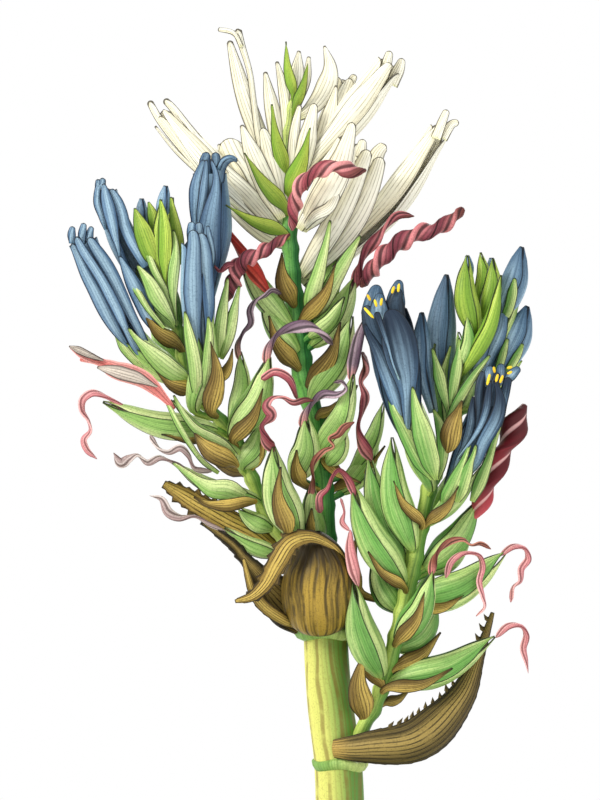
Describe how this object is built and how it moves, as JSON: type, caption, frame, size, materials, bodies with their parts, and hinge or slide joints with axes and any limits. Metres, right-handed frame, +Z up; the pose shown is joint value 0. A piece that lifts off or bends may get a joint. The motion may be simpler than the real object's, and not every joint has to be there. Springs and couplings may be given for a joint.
{
  "type": "potted puya caerulea plant",
  "caption": "Terracotta pot of soil with a spiny strap-leaf bromeliad rosette and a tall branched flower stem of blue and ivory blooms.",
  "frame": {"origin": "centre of the pot's foot, on the surface it stands on", "axes": "+Z up along the pot's axis and the flower stem; -Y is the side with the showiest flowers; +X to the viewer's right"},
  "size_m": [0.3579, 0.3584, 0.4535],
  "materials": {
    "terracotta": "matte",
    "soil": "matte",
    "leaf": "satin",
    "stem": "satin",
    "calyx": "satin",
    "bract": "matte",
    "petal_blue": "satin",
    "petal_ivory": "satin",
    "spent_petal": "matte"
  },
  "bodies": {
    "root": {"pot": "terracotta", "soil": "soil", "rosette": "leaf", "main_stem": "stem", "left_spray": "calyx", "right_spray": "calyx", "spathe": "bract", "bract_outer_left": "bract", "bract_upper_left": "bract", "bract_lower_right": "bract", "bract_scape_low": "bract", "bract_scape_high": "bract", "left_bloom_1": "petal_blue", "left_bloom_2": "petal_blue", "left_bloom_3": "petal_blue", "left_bloom_4": "petal_blue", "right_bloom_1": "petal_blue", "right_bloom_2": "petal_blue", "right_bloom_3": "petal_blue", "right_bloom_4": "petal_blue", "right_bloom_5": "petal_blue", "right_bloom_6": "petal_blue", "right_bloom_7": "petal_blue", "top_bloom_1": "petal_ivory", "top_bloom_2": "petal_ivory", "top_bloom_3": "petal_ivory", "top_bloom_4": "petal_ivory", "top_bloom_5": "petal_ivory", "top_bloom_6": "petal_ivory", "top_bloom_7": "petal_ivory", "top_bloom_8": "petal_ivory", "top_bloom_9": "petal_ivory", "top_bloom_10": "petal_ivory", "top_bloom_11": "petal_ivory", "left_spent_1": "spent_petal", "left_spent_2": "spent_petal", "left_spent_3": "spent_petal", "left_spent_4": "spent_petal", "left_spent_5": "spent_petal", "left_spent_6": "spent_petal", "left_spent_7": "spent_petal", "left_spent_8": "spent_petal", "left_spent_9": "spent_petal", "left_spent_10": "spent_petal", "centre_spent_1": "spent_petal", "centre_spent_2": "spent_petal", "centre_spent_3": "spent_petal", "centre_spent_4": "spent_petal", "centre_spent_5": "spent_petal", "centre_spent_6": "spent_petal", "centre_spent_7": "spent_petal", "centre_spent_8": "spent_petal", "right_spent_1": "spent_petal", "right_spent_2": "spent_petal", "right_spent_3": "spent_petal", "right_spent_4": "spent_petal", "right_spent_5": "spent_petal", "right_spent_6": "spent_petal"}
  },
  "joints": []
}
